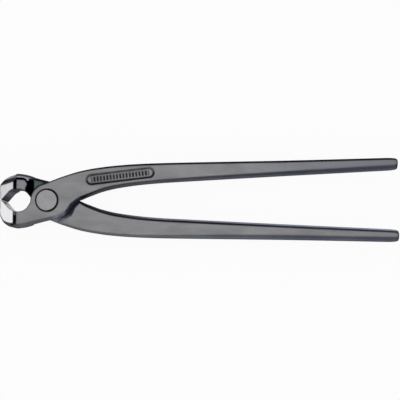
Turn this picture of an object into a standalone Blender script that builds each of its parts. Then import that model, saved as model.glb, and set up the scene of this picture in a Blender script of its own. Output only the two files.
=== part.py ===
"""Rebar tying pliers, 250 mm class, lying flat with the jaws closed.

Two identical forged halves cross at a lap joint and turn on one flush rivet.
The pivot axis is Z through the world origin, which is the centre of the
rivet's front face. The jaws point to -X and the handles to +X. The front half
carries the upper handle (+Y) and the lower jaw (-Y) and laps over the rear
half on the +Z side. The rear half is the same forging turned by half a turn
about X.

Helper functions take millimetres and write metres. They draw the pliers with
the middle of the joint at height zero, and the objects' location lowers it.
"""
import math

import bmesh
import bpy
from mathutils import Matrix, Vector

MM = 0.001

# Thicknesses along the pivot axis
JAW_HALF = 11.0
LAP_HALF = 6.75
BLANK_HALF = 6.9
LAP_PLANE = 0.15
PANEL_END_HALF = 5.0
TAIL_HALF = 4.2

# How far cutters reach past the forging, the height at which the tops of walls are given, and
# the heights at which the lap's walls are drawn
CUT_OVERSHOOT = 3.0
CUT_SKIM = 0.3
CUT_REACH = 30.0
CUT_END_X = 40.0
WALL_TOP = 12.0
WALL_HEIGHTS = (-WALL_TOP, -LAP_HALF, -6.3, -5.6, -4.6, -3.2, -2.0, LAP_PLANE)

# Joint
DISC_R = 10.8
DISC_DEG = (111.5, 174.0)
FAR_ROOT_X = 3.0
SHOULDER_R = 17.2
SHOULDER_DEG = (16.5, 93.0)
SHOULDER_DRAFT = 0.57
SHOULDER_DIP = 3.05
SHOULDER_DIP_IN_DEG = (29.0, 52.0)
SHOULDER_DIP_OUT_DEG = (60.0, 78.0)
SHOULDER_ROUND = 0.3
SHOULDER_ROUND_DEG = 37.0
SHOULDER_ROUND_PER_DEG = 0.27
SHOULDER_ROUND_MOST = 7.0
SHOULDER_ROUND_FROM = 0.3
NECK_CHAMFER_X = (-8.6, 6.0, 9.5)
NECK_CHAMFER_WIDTH = 1.45
NECK_CHAMFER_HEIGHT = 1.6
NECK_CHAMFER_REACH = 8.0
RIVET_R = 4.7
RIVET_HEAD_R = 6.6
RIVET_CHAMFER = 0.4
HOLE_CHAMFER = 0.2
HOLE_GAP = 0.3
COUNTERSINK_START = 3.2
COUNTERSINK_END = 5.0
COUNTERSINK_DROP = 0.4
BORE_OVERSHOOT = 1.0

# Mouth between the jaws
MOUTH_X = -17.9
MOUTH_Y = 0.15
MOUTH_R = 7.0
MOUTH_START_DEG = -25.0
EDGE_X = -26.9
FRONT_X = -27.9
EDGE_Y = -0.15

# Ground faces of the jaws
STEP_TOP_X = -19.97
STEP_FOOT_X = -18.9
FACET_START = (-27.34, -8.92)
FACET_END = (STEP_TOP_X, -11.25)
FACET_FADE = (-15.5, -16.9)
FACET_REACH = 9.0
FACET_RISE = 21.0
FACET_OVERSHOOT = 6.0

# Outline of the head of the front half at mid thickness
OUTER_ROOT_X = (24.0, 20.0, 16.0, 12.0, 8.0)
DISC_END = (-10.75, -1.1)
JAW_NOSE = ((-28.6, -3.2), (-28.95, -6.5))
JAW_CORNER = ((-28.9, -9.2), (-27.2, -13.4), (-23.65, -16.2), (-18.9, -17.1))
JAW_BACK = ((-18.6, -17.12), (-14.0, -16.55), (-9.4, -15.28), (-4.0, -13.8), (1.8, -12.35),
            (8.0, -10.7))
NECK_CORNER = ((11.6, -9.4), (13.7, -7.5), (15.2, -5.2), (16.0, -3.7))
CROTCH = ((17.0, -2.5), (18.7, -0.95))
INNER_ROOT = ((20.35, 0.18), (22.0, 1.0))

# How far the head's edges draw in at the near face, the far face and the jaw's sides. A pair
# is the value at the first and the last point of its stretch.
DISC_INSETS = ((0.9, 0.9), (0.5, 0.5))
DISC_END_INSETS = ((0.6, 0.6), (0.3, 0.3))
MOUTH_INSET = (0.2, 0.0)
NOSE_CROWN = (0.5, 0.7)
CORNER_POINTS = 5
CORNER_CROWN = (0.8, 1.5)
CORNER_END_INSETS = ((0.2, 0.6), (0.0, 1.2), (1.7, 2.2))
BACK_INSETS = ((1.8, 1.4), (1.2, 1.0), (2.1, 0.8))
NECK_INSETS = ((2.3, 2.2), (1.9, 1.7))
CROTCH_INSETS = ((1.85, 1.6), (1.4, 1.2))
ROOT_INSETS = (1.6, 1.2)

# Clearance for the other half, at the lap plane and at the far end of the cut
CLEARANCE_BACK = ((-8.0, -22.0), (12.0, -22.0))
CROTCH_FOOT = ((20.45, -6.0), (20.45, 0.2), (19.4, 1.45), (17.7, 3.1))
CROTCH_TOP = ((21.6, -6.0), (21.6, 0.2), (20.7, 2.3), (18.9, 4.5))
CLEARANCE_CORNER = (-9.0, 22.0)
JAW_WALL_FOOT = ((-11.2, 3.0), (-11.15, -2.5), (-10.3, -5.0), (-9.2, -7.3), (-8.85, -9.2),
                 (-8.9, -10.5), (-9.0, -11.7), (-9.3, -14.0), (-9.04, -16.5))
JAW_WALL_TOP = ((-17.0, 3.0), (-16.8, -2.5), (-16.6, -5.0), (-16.2, -7.3), (-15.3, -9.2),
                (-14.6, -10.5), (-10.5, -11.7), (-9.3, -14.0), (-9.04, -16.5))

# Shallow pocket in the far side of the jaw
POCKET_FLOOR = ((STEP_FOOT_X, 4.0), (STEP_FOOT_X, -13.1), (-14.2, -12.8), (-12.9, -12.1),
                (-12.4, -10.6), (-6.0, -8.6), (-6.0, 4.0))
POCKET_BRIM = ((STEP_TOP_X, 4.0), (STEP_TOP_X, -14.15), (-14.2, -13.85), (-12.2, -12.8),
               (-11.2, -11.0), (-6.0, -9.4), (-6.0, 4.0))

# Handles
HANDLE_START_X = 24.0
PANEL_END_X = 72.0
HANDLE_END_X = 218.6
HANDLE_STATIONS = 44
STATION_GROWTH = 1.15
HANDLE_END_ROUND = ((0.55, 0.28), (0.12, 0.75), (0.0, 1.3))
HANDLE_END_FLAT = 1.4
OUTER_EDGE = ((8.0, 14.75), (20.0, 18.55), (35.0, 21.2), (55.0, 22.9), (80.0, 23.7),
              (150.0, 24.85), (HANDLE_END_X, 26.45))
INNER_EDGE = ((HANDLE_START_X, 1.9), (35.0, 5.95), (47.0, 8.5), (65.0, 10.6), (95.0, 12.4),
              (150.0, 15.3), (HANDLE_END_X, 18.75))

# How far the handle's edges draw in at its near and far faces: x and inset
NEAR_OUTER_DRAFT = ((8.0, 0.9), (24.0, 1.3), (40.0, 1.5), (HANDLE_END_X, 1.5))
FAR_OUTER_DRAFT = ((8.0, 0.9), (50.0, 1.1), (70.0, 1.55), (95.0, 2.15), (120.0, 2.65),
                   (170.0, 2.95), (HANDLE_END_X, 3.2))
NEAR_INNER_DRAFT = ((HANDLE_START_X, 1.5), (70.0, 1.6), (95.0, 2.1), (130.0, 2.4), (170.0, 2.9),
                    (HANDLE_END_X, 3.3))
FAR_INNER_DRAFT = ((HANDLE_START_X, 2.3), (60.0, 2.5), (HANDLE_END_X, 2.3))
END_DRAFT_KEPT = 0.5

# Raised panel in a stadium groove on the handle
PANEL_CENTRE = (45.4, 14.87)
PANEL_TILT_DEG = 6.9
PANEL_LENGTH = 42.6
PANEL_HEIGHT = 6.65
GROOVE_WIDTH = 0.9
GROOVE_DEPTH = 0.45
RIB_COUNT = 18
RIB_PITCH = 2.0
RIB_SIZE = (1.0, 3.0)
RIB_DEPTH = 0.3
PANEL_OVERSHOOT = 1.0

# Steps of the arcs
DISC_STEPS = 10
MOUTH_STEPS = 14
SHOULDER_STEPS = 24
PANEL_STEPS = 8
ROUND_STEPS = 48

# Finish: colour and roughness, and the angle over which an edge stays sharp
FORGED_COLOUR = (0.20, 0.20, 0.21)
FORGED_ROUGHNESS = 0.42
RIVET_COLOUR = (0.33, 0.33, 0.34)
RIVET_ROUGHNESS = 0.38
SHARP_DEG = 30.0

# Layers of the forging: height and how far its edge has drawn in there
LAYERS = (-JAW_HALF, -8.8, -BLANK_HALF, -4.3, -1.4, 1.4, 4.3, BLANK_HALF, 8.8, JAW_HALF)
HANDLE_LAYERS = range(2, 8)
DRAFT = (1.0, 1.0, 1.0, 0.35, 0.0, 0.0, 0.35, 1.0, 1.0, 1.0)
CROWN = (1.0, 0.5, 0.28, 0.1, 0.0, 0.0, 0.1, 0.28, 0.5, 1.0)


def curve_at(knots, x):
    """Height at x of a smooth curve through the knots."""
    count = len(knots)
    slopes = []
    for i in range(count):
        left = knots[max(i - 1, 0)]
        right = knots[min(i + 1, count - 1)]
        slopes.append((right[1] - left[1]) / (right[0] - left[0]))
    i = 0
    while i < count - 2 and x > knots[i + 1][0]:
        i += 1
    (x0, y0), (x1, y1) = knots[i], knots[i + 1]
    width = x1 - x0
    t = (x - x0) / width
    return ((2 * t**3 - 3 * t**2 + 1) * y0 + (t**3 - 2 * t**2 + t) * width * slopes[i]
            + (3 * t**2 - 2 * t**3) * y1 + (t**3 - t**2) * width * slopes[i + 1])


def smooth_through(points, steps):
    """Points of a smooth open curve through all the given points."""
    chain = [Vector(p) for p in points]
    result = []
    for i in range(len(chain) - 1):
        before = chain[max(i - 1, 0)]
        start, end = chain[i], chain[i + 1]
        after = chain[min(i + 2, len(chain) - 1)]
        for step in range(steps):
            t = step / steps
            pull_in = (end - before) * 0.5
            pull_out = (after - start) * 0.5
            result.append((2 * t**3 - 3 * t**2 + 1) * start + (t**3 - 2 * t**2 + t) * pull_in
                          + (3 * t**2 - 2 * t**3) * end + (t**3 - t**2) * pull_out)
    result.append(chain[-1])
    return result


def arc(centre, radius, start_deg, end_deg, steps):
    """Points on an arc, both ends included."""
    points = []
    for step in range(steps + 1):
        angle = math.radians(start_deg + (end_deg - start_deg) * step / steps)
        points.append(Vector((centre[0] + radius * math.cos(angle),
                              centre[1] + radius * math.sin(angle))))
    return points


def make_object(name, mesh_builder):
    """Object from a bmesh in millimetres, closed and facing outward."""
    bm = bmesh.new()
    mesh_builder(bm)
    bmesh.ops.recalc_face_normals(bm, faces=bm.faces)
    bmesh.ops.scale(bm, vec=(MM, MM, MM), verts=bm.verts)
    mesh = bpy.data.meshes.new(name)
    bm.to_mesh(mesh)
    bm.free()
    obj = bpy.data.objects.new(name, mesh)
    bpy.context.collection.objects.link(obj)
    return obj


def loft(name, rings):
    """Closed solid through rings of points that all have the same count."""
    def build(bm):
        rows = [[bm.verts.new(point) for point in ring] for ring in rings]
        count = len(rows[0])
        for lower, upper in zip(rows, rows[1:]):
            for i in range(count):
                j = (i + 1) % count
                bm.faces.new((lower[i], lower[j], upper[j], upper[i]))
        bm.faces.new(list(reversed(rows[0])))
        bm.faces.new(rows[-1])
    return make_object(name, build)


def flat_ring(points, z):
    """A ring of plane points lifted to height z."""
    return [(point[0], point[1], z) for point in points]


def turned(name, profile, segments):
    """Solid of revolution about Z from (radius, height) pairs."""
    rings = []
    for radius, height in profile:
        rings.append([(radius * math.cos(2 * math.pi * i / segments),
                       radius * math.sin(2 * math.pi * i / segments), height)
                      for i in range(segments)])
    return loft(name, rings)


def cut_away(target, cutter):
    """Take the cutter out of the target and drop it."""
    modifier = target.modifiers.new('cut', 'BOOLEAN')
    modifier.object = cutter
    modifier.operation = 'DIFFERENCE'
    modifier.solver = 'EXACT'
    depsgraph = bpy.context.evaluated_depsgraph_get()
    mesh = bpy.data.meshes.new_from_object(target.evaluated_get(depsgraph))
    target.modifiers.clear()
    old = target.data
    target.data = mesh
    bpy.data.meshes.remove(old)
    bpy.data.objects.remove(cutter, do_unlink=True)


def head_outline():
    """Outline of the head of the front half at mid thickness.

    Each entry is (point, near draft, far draft, crown): how far the edge
    draws in towards the near face, the far face and the jaw sides. The
    outline runs from the upper edge of the handle round the joint disc, the
    mouth, the lower jaw and the neck to the inner edge of the handle.
    """
    entries = []

    def add(points, near=(0, 0), far=(0, 0), crown=(0, 0)):
        for i, point in enumerate(points):
            t = i / max(len(points) - 1, 1)
            blends = [first + (last - first) * t for first, last in (near, far, crown)]
            entries.append((Vector(point), *blends))

    for x in OUTER_ROOT_X:
        near, far = curve_at(NEAR_OUTER_DRAFT, x), curve_at(FAR_OUTER_DRAFT, x)
        add([(x, curve_at(OUTER_EDGE, x))], near=(near, near), far=(far, far))
    add(arc((0, 0), DISC_R, *DISC_DEG, DISC_STEPS), *DISC_INSETS)
    add([DISC_END], *DISC_END_INSETS)
    reach = math.dist((EDGE_X, EDGE_Y), (MOUTH_X, MOUTH_Y))
    flank = 90 - math.degrees(math.asin(MOUTH_R / reach))
    add(arc((MOUTH_X, MOUTH_Y), MOUTH_R, MOUTH_START_DEG, flank - 180, MOUTH_STEPS),
        near=MOUTH_INSET, far=MOUTH_INSET)
    add([(EDGE_X, EDGE_Y), (FRONT_X, EDGE_Y)])
    add(JAW_NOSE, crown=NOSE_CROWN)
    corner = smooth_through(JAW_CORNER, 3)
    add(corner[:CORNER_POINTS], crown=CORNER_CROWN)
    add(corner[CORNER_POINTS:], *CORNER_END_INSETS)
    add(smooth_through(JAW_BACK, 2), *BACK_INSETS)
    add(smooth_through(NECK_CORNER, 2), *NECK_INSETS)
    add(CROTCH, *CROTCH_INSETS)
    add([*INNER_ROOT, INNER_EDGE[0]], (ROOT_INSETS[0], NEAR_INNER_DRAFT[0][1]),
        (ROOT_INSETS[1], FAR_INNER_DRAFT[0][1]))
    return entries


def inward_normals(points):
    """Unit normals to the left of a run of points, which is its inner side."""
    normals = []
    last = len(points) - 1
    for i in range(len(points)):
        run = points[min(i + 1, last)] - points[max(i - 1, 0)]
        run.normalize()
        normals.append(Vector((-run.y, run.x)))
    normals[0] = Vector((0, -1))
    normals[last] = Vector((0, 1))
    return normals


def layer_inset(entry, layer):
    """How far one outline point has moved inward on one layer."""
    near, far, crown = entry[1:]
    draft = near if LAYERS[layer] > 0 else far
    return draft * DRAFT[layer] + crown * CROWN[layer]


def handle_half_thickness(x):
    """Half thickness of the handle, falling in a plane under the panel."""
    if x <= PANEL_END_X:
        t = (x - HANDLE_START_X) / (PANEL_END_X - HANDLE_START_X)
        return BLANK_HALF + (PANEL_END_HALF - BLANK_HALF) * t
    t = (x - PANEL_END_X) / (HANDLE_END_X - PANEL_END_X)
    return PANEL_END_HALF + (TAIL_HALF - PANEL_END_HALF) * t


def handle_station(x, end_inset):
    """Upper and lower points of the handle on each layer at one x."""
    half = handle_half_thickness(x) - end_inset
    top = curve_at(OUTER_EDGE, x) - end_inset
    bottom = curve_at(INNER_EDGE, x) + end_inset
    kept = 1 - (1 - END_DRAFT_KEPT) * end_inset / HANDLE_END_ROUND[-1][1]
    upper, lower = [], []
    for layer in HANDLE_LAYERS:
        near = LAYERS[layer] > 0
        outer = curve_at(NEAR_OUTER_DRAFT if near else FAR_OUTER_DRAFT, x)
        inner = curve_at(NEAR_INNER_DRAFT if near else FAR_INNER_DRAFT, x)
        z = LAYERS[layer] / BLANK_HALF * half
        upper.append((x, top - outer * kept * DRAFT[layer], z))
        lower.append((x, bottom + inner * kept * DRAFT[layer], z))
    return upper, lower


def build_blank(bm):
    """The whole forging before it is cut: head in layers, then the handle."""
    entries = head_outline()
    points = [entry[0] for entry in entries]
    normals = inward_normals(points)
    layers = []
    for layer, z in enumerate(LAYERS):
        ring = []
        for entry, normal in zip(entries, normals):
            point = entry[0] + normal * layer_inset(entry, layer)
            ring.append(bm.verts.new((point.x, point.y, z)))
        layers.append(ring)
    for lower, upper in zip(layers, layers[1:]):
        for i in range(len(points) - 1):
            bm.faces.new((lower[i], lower[i + 1], upper[i + 1], upper[i]))
    bm.faces.new(list(reversed(layers[0])))
    bm.faces.new(layers[-1])

    inner = [layers[layer] for layer in HANDLE_LAYERS]
    for k in (0, 1, 7, 8):
        low, high = layers[k], layers[k + 1]
        bm.faces.new((low[-1], low[0], high[0], high[-1]))
    section = ([ring[0] for ring in inner], [ring[-1] for ring in inner])
    length = HANDLE_END_X - HANDLE_END_FLAT - HANDLE_START_X
    stations = [(HANDLE_START_X + length * (i / HANDLE_STATIONS) ** STATION_GROWTH, 0.0)
                for i in range(1, HANDLE_STATIONS + 1)]
    stations += [(HANDLE_END_X - back, inset) for back, inset in HANDLE_END_ROUND]
    for x, end_inset in stations:
        upper_points, lower_points = handle_station(x, end_inset)
        upper = [bm.verts.new(point) for point in upper_points]
        lower = [bm.verts.new(point) for point in lower_points]
        for k in range(len(upper) - 1):
            bm.faces.new((section[0][k], section[0][k + 1], upper[k + 1], upper[k]))
            bm.faces.new((section[1][k + 1], section[1][k], lower[k], lower[k + 1]))
        bm.faces.new((section[0][-1], section[1][-1], lower[-1], upper[-1]))
        bm.faces.new((section[1][0], section[0][0], upper[0], lower[0]))
        section = (upper, lower)
    bm.faces.new(section[0] + list(reversed(section[1])))


def near_face_cutter():
    """Takes the near side of the joint down to the lap face, up to the blade's step."""
    top = JAW_HALF + CUT_OVERSHOOT
    slope = (STEP_TOP_X - STEP_FOOT_X) / (JAW_HALF - LAP_HALF)
    top_x = STEP_FOOT_X + slope * (top - LAP_HALF)
    section = ((STEP_FOOT_X, LAP_HALF), (CUT_END_X, LAP_HALF), (CUT_END_X, top), (top_x, top))
    rings = [[(x, y, z) for x, z in section] for y in (-CUT_REACH, CUT_REACH)]
    return loft('near_face_cutter', rings)


def far_root_cutter():
    """Takes the far side of the handle root down to the lap face."""
    ring = ((FAR_ROOT_X, -CUT_REACH), (CUT_END_X, -CUT_REACH), (CUT_END_X, CUT_REACH),
            (FAR_ROOT_X, CUT_REACH))
    return loft('far_root_cutter', [flat_ring(ring, -JAW_HALF - CUT_OVERSHOOT),
                                    flat_ring(ring, -LAP_HALF)])


def smooth_rise(span, value):
    """0 before the span, 1 after it and a smooth run between."""
    t = min(max((value - span[0]) / (span[1] - span[0]), 0.0), 1.0)
    return math.sin(math.pi / 2 * t) ** 2


def shoulder(share):
    """The wall that faces the other half's neck, at a share of its height.

    Its foot is an arc with a dip where the other half's neck is narrow. Its
    top edge is rounded over, more and more towards the handle's outer edge.
    """
    rise = max((share - SHOULDER_ROUND_FROM) / (1 - SHOULDER_ROUND_FROM), 0.0)
    bend = 1 - math.sqrt(1 - rise**2)
    points = []
    first, last = SHOULDER_DEG
    for step in range(SHOULDER_STEPS + 1):
        angle = first + (last - first) * step / SHOULDER_STEPS
        dip = smooth_rise(SHOULDER_DIP_IN_DEG, angle) * (1 - smooth_rise(SHOULDER_DIP_OUT_DEG, angle))
        more = SHOULDER_ROUND_PER_DEG * max(angle - SHOULDER_ROUND_DEG, 0.0)
        rounding = SHOULDER_ROUND + min(more, SHOULDER_ROUND_MOST)
        radius = SHOULDER_R - SHOULDER_DIP * dip + SHOULDER_DRAFT * share + rounding * bend
        points.append(Vector((math.cos(math.radians(angle)), math.sin(math.radians(angle)))) * radius)
    return points


def lap_cutter():
    """Clears the other half's disc, neck and handle root on the far side."""
    rings = []
    for z in WALL_HEIGHTS:
        lean = (LAP_PLANE - z) / (LAP_PLANE + WALL_TOP)
        crotch = [Vector(low).lerp(Vector(high), lean) for low, high in zip(CROTCH_FOOT, CROTCH_TOP)]
        jaw = [Vector(low).lerp(Vector(high), lean) for low, high in zip(JAW_WALL_FOOT, JAW_WALL_TOP)]
        wall = shoulder(min((LAP_PLANE - z) / (LAP_PLANE + LAP_HALF), 1.0))
        ring = [*crotch, *wall, CLEARANCE_CORNER, *jaw, *CLEARANCE_BACK]
        rings.append(flat_ring(ring, z))
    return loft('lap_cutter', rings)


def neck_chamfer_cutter():
    """Breaks the neck's back edge along the lap face, fading out towards the handle."""
    start, end, fade = [Vector((x, curve_at(JAW_BACK, x))) for x in NECK_CHAMFER_X]
    along = (end - start).normalized()
    inward = Vector((-along.y, along.x))
    lean = NECK_CHAMFER_WIDTH / NECK_CHAMFER_HEIGHT
    low = LAP_PLANE - CUT_SKIM
    high = LAP_PLANE + NECK_CHAMFER_HEIGHT + CUT_SKIM
    rings = []
    for place, width in ((start, NECK_CHAMFER_WIDTH), (end, NECK_CHAMFER_WIDTH), (fade, 0.0)):
        deep = place + inward * (width + lean * CUT_SKIM)
        shallow = place + inward * (width - NECK_CHAMFER_WIDTH - lean * CUT_SKIM)
        outside = place - inward * NECK_CHAMFER_REACH
        rings.append([(*deep, low), (*shallow, high), (*outside, high), (*outside, low)])
    return loft('neck_chamfer_cutter', rings)


def pocket_cutter():
    """Shallow pocket in the jaw's far side, inside a rim along the jaw's back."""
    grow = (WALL_TOP - JAW_HALF) / (JAW_HALF - LAP_HALF)
    above = [(b[0] + (b[0] - f[0]) * grow, b[1] + (b[1] - f[1]) * grow)
             for f, b in zip(POCKET_FLOOR, POCKET_BRIM)]
    rings = [flat_ring(above, -WALL_TOP), flat_ring(POCKET_FLOOR, -LAP_HALF)]
    return loft('pocket_cutter', rings)


def facet_cutter():
    """Sloped facet at the back of the blade on the far side, fading out along the rim."""
    start, end, fade = Vector(FACET_START), Vector(FACET_END), Vector(FACET_FADE)
    along = (end - start).normalized()
    outward = Vector((along.y, -along.x))
    rings = []
    for inner in (start - along * FACET_OVERSHOOT, end, fade):
        outer = inner + outward * FACET_REACH
        rings.append([(inner.x, inner.y, -JAW_HALF), (outer.x, outer.y, FACET_RISE - JAW_HALF),
                      (outer.x, outer.y, -JAW_HALF - CUT_OVERSHOOT),
                      (inner.x, inner.y, -JAW_HALF - CUT_OVERSHOOT)])
    return loft('facet_cutter', rings)


def rivet_profile(grow):
    """Half profile of the rivet from the lap plane up, grown by a gap."""
    drop = grow * COUNTERSINK_DROP
    return ((RIVET_R + grow, 0.0), (RIVET_R + grow, COUNTERSINK_START - drop),
            (RIVET_HEAD_R + grow, COUNTERSINK_END - drop))


def hole_cutter():
    """Countersunk rivet hole with a chamfered mouth."""
    shank, neck, head = rivet_profile(HOLE_GAP)
    mouth = head[0] + HOLE_CHAMFER
    profile = ((shank[0], -BORE_OVERSHOOT), neck, head, (head[0], LAP_HALF - HOLE_CHAMFER),
               (mouth, LAP_HALF), (mouth + BORE_OVERSHOOT, LAP_HALF + BORE_OVERSHOOT))
    return turned('hole_cutter', profile, ROUND_STEPS)


def stadium(length, height):
    """Outline of a bar with round ends, centred on the origin."""
    radius = height / 2
    reach = length / 2 - radius
    return (arc((reach, 0), radius, -90, 90, PANEL_STEPS)
            + arc((-reach, 0), radius, 90, 270, PANEL_STEPS))


def panel_cutters():
    """Stadium groove and rib slots, laid on the slope of the handle's near face."""
    def groove(bm):
        rows = []
        for size, z in ((0.0, PANEL_OVERSHOOT), (0.0, -GROOVE_DEPTH),
                        (GROOVE_WIDTH * 2, -GROOVE_DEPTH), (GROOVE_WIDTH * 2, PANEL_OVERSHOOT)):
            outline = stadium(PANEL_LENGTH - size, PANEL_HEIGHT - size)
            rows.append([bm.verts.new((p.x, p.y, z)) for p in outline])
        rows.append(rows[0])
        count = len(rows[0])
        for one, two in zip(rows, rows[1:]):
            for i in range(count):
                j = (i + 1) % count
                bm.faces.new((one[i], one[j], two[j], two[i]))

    cutters = [make_object('groove_cutter', groove)]
    for i in range(RIB_COUNT):
        x = (i - (RIB_COUNT - 1) / 2) * RIB_PITCH
        half_x, half_y = RIB_SIZE[0] / 2, RIB_SIZE[1] / 2
        ring = ((x - half_x, -half_y), (x + half_x, -half_y),
                (x + half_x, half_y), (x - half_x, half_y))
        cutters.append(loft('slot_cutter', [flat_ring(ring, -RIB_DEPTH),
                                            flat_ring(ring, PANEL_OVERSHOOT)]))

    slope = (BLANK_HALF - PANEL_END_HALF) / (PANEL_END_X - HANDLE_START_X)
    height = handle_half_thickness(PANEL_CENTRE[0])
    place = (Matrix.Translation(Vector((PANEL_CENTRE[0], PANEL_CENTRE[1], height)) * MM)
             @ Matrix.Rotation(math.atan(slope), 4, 'Y')
             @ Matrix.Rotation(math.radians(PANEL_TILT_DEG), 4, 'Z'))
    for cutter in cutters:
        cutter.data.transform(place)
    return cutters


def steel(name, colour, roughness):
    """Plain steel material."""
    material = bpy.data.materials.new(name)
    material.use_nodes = True
    shader = material.node_tree.nodes['Principled BSDF']
    shader.inputs['Base Color'].default_value = (*colour, 1.0)
    shader.inputs['Metallic'].default_value = 1.0
    shader.inputs['Roughness'].default_value = roughness
    return material


def shade(obj, material):
    """Give the object its only material and smooth its round faces."""
    obj.data.materials.clear()
    obj.data.materials.append(material)
    obj.data.shade_smooth()
    obj.data.set_sharp_from_angle(angle=math.radians(SHARP_DEG))


def forged_half(name, material):
    """One forged half, in the place of the front one."""
    half = make_object(name, build_blank)
    for make_cutter in (near_face_cutter, far_root_cutter, facet_cutter, pocket_cutter,
                        lap_cutter, neck_chamfer_cutter, hole_cutter):
        cut_away(half, make_cutter())
    for cutter in panel_cutters():
        cut_away(half, cutter)
    shade(half, material)
    return half


def pivot_rivet(material):
    """Rivet with a flush countersunk head on each side."""
    shank, neck, head = rivet_profile(0.0)
    side = (neck, head, (head[0], LAP_HALF - RIVET_CHAMFER),
            (head[0] - RIVET_CHAMFER, LAP_HALF))
    profile = [(radius, -height) for radius, height in reversed(side)] + list(side)
    rivet = turned('pivot_rivet', profile, ROUND_STEPS)
    shade(rivet, material)
    return rivet


def main():
    for obj in list(bpy.data.objects):
        bpy.data.objects.remove(obj, do_unlink=True)
    forged = steel('forged_steel_front', FORGED_COLOUR, FORGED_ROUGHNESS)
    rear = steel('forged_steel_rear', FORGED_COLOUR, FORGED_ROUGHNESS)
    rivet = steel('rivet_steel', RIVET_COLOUR, RIVET_ROUGHNESS)
    front_half = forged_half('front_half', forged)
    rear_half = forged_half('rear_half', rear)
    rear_half.data.transform(Matrix.Rotation(math.pi, 4, 'X'))
    for obj in (front_half, rear_half, pivot_rivet(rivet)):
        obj.location.z = -LAP_HALF * MM


main()
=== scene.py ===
"""Visual model of the rebar tying pliers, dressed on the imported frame.

Each forged half is shown by a skin: a copy of its solid, meshed finely, with its
forged edges rounded and its ground faces kept crisp. The skins are worked in
millimetres in the front half's own frame, where the joint's mid plane is z = 0,
and go back to the row frame in metres. Each skin has one material, whose colours
are mixed by masks. A mask is one value for each point of the mesh, worked out from
the point's place and normal.

Some masks follow the light in the photo and not the finish of the real tool. They
are fixed to the forging, so they look the same in every pose.
"""
import math

import bmesh
import bpy
import numpy as np
from mathutils import Matrix, Vector


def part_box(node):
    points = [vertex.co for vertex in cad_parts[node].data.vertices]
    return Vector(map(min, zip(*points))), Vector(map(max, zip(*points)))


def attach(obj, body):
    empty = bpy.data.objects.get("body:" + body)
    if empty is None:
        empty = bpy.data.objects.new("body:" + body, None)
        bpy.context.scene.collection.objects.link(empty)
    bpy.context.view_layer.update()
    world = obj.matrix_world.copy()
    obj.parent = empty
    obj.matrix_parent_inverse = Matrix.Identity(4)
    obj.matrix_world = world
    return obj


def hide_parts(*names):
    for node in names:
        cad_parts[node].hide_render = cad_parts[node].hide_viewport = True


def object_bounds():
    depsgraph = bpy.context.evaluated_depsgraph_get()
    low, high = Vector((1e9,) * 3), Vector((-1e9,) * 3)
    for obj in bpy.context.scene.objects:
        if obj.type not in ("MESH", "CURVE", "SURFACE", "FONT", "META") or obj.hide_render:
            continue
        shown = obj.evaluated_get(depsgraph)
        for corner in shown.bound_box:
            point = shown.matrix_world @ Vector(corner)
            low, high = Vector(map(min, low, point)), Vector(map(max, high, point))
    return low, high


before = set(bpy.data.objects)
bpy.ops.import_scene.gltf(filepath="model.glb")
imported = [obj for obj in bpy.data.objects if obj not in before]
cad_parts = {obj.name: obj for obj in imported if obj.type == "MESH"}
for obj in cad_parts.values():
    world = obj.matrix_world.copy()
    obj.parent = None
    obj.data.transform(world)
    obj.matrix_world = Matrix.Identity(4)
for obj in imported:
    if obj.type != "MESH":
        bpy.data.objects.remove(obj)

cad_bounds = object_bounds()

MM = 0.001

# Sizes of the solids: JOINT_Z in metres in the row frame, the others in millimetres
rivet_low, rivet_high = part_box("pivot_rivet")
JOINT_Z = (rivet_low.z + rivet_high.z) / 2
LAP_HALF = (rivet_high.z - rivet_low.z) / 2 / MM
JAW_HALF = (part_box("front_half")[1].z - JOINT_Z) / MM
HANDLE_END_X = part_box("front_half")[1].x / MM
RIVET_HEAD_R = (rivet_high.x - rivet_low.x) / 2 / MM

# Remeshing: the handle's plain stretch is squeezed, so that its mesh is coarser along it
VOXEL = 0.30
SQUEEZE_FROM = 72.0
SQUEEZE = 5.0

# Rounding of the edges: how many rounds, how far a point gives way in each, and how much
# of its place it keeps on the blade, in the pocket below (x, y, z) and round the panel
EDGE_ROUNDS = 12
EDGE_GIVE = 0.5
CRISP = 0.76
POCKET_SHARE = 0.6
PANEL_CRISP = 0.7
BLADE_CRISP_END_X = (-18.6, -17.6)
POCKET_BELOW = (-8.0, -9.0, -5.5)
PANEL_MARGIN = 1.0

# Masks: rounds of softening and the neighbours' weight in each, how much a point bulges where
# an edge counts as worn, and how much less it counts along the handle
MASK_ROUNDS = 2
NEIGHBOUR_WEIGHT = 2
EDGE_BULGE = (0.02, 0.10)
EDGE_LESS_X = (60.0, 80.0)
EDGE_LESS = 0.4

# Stadium groove of the handle's panel with painted shade in it, less on its top line, and bars
# of painted shade inside it. The bars lie on the ridges between the solid's slots, half a pitch
# from the slots themselves.
PANEL_CENTRE = (45.4, 14.87)
PANEL_TILT_DEG = 6.9
PANEL_LENGTH = 42.6
PANEL_HEIGHT = 6.65
GROOVE_WIDTH = 0.9
GROOVE_FADE = (0.55, 0.9)
GROOVE_TOP_LESS = 0.35
BAR_PITCH = 2.0
BAR_SIZE = (1.0, 3.0)
BARS_HALF_LENGTH = 18.0
BAR_WIDTH_FADE = (0.5, 0.75)
BAR_HEIGHT_FADE = (0.5, 0.6)

# Flash line left on the handle's sides by the forging dies
FLASH_HEIGHT = 0.10
FLASH_HALF_WIDTH = 0.75
FLASH_CORE = 0.6
FLASH_FACING = (0.75, 0.95)
FLASH_FROM_X = 30.0
FLASH_FADE_IN = 6.0
FLASH_STOP = (6.0, 2.0)
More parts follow.
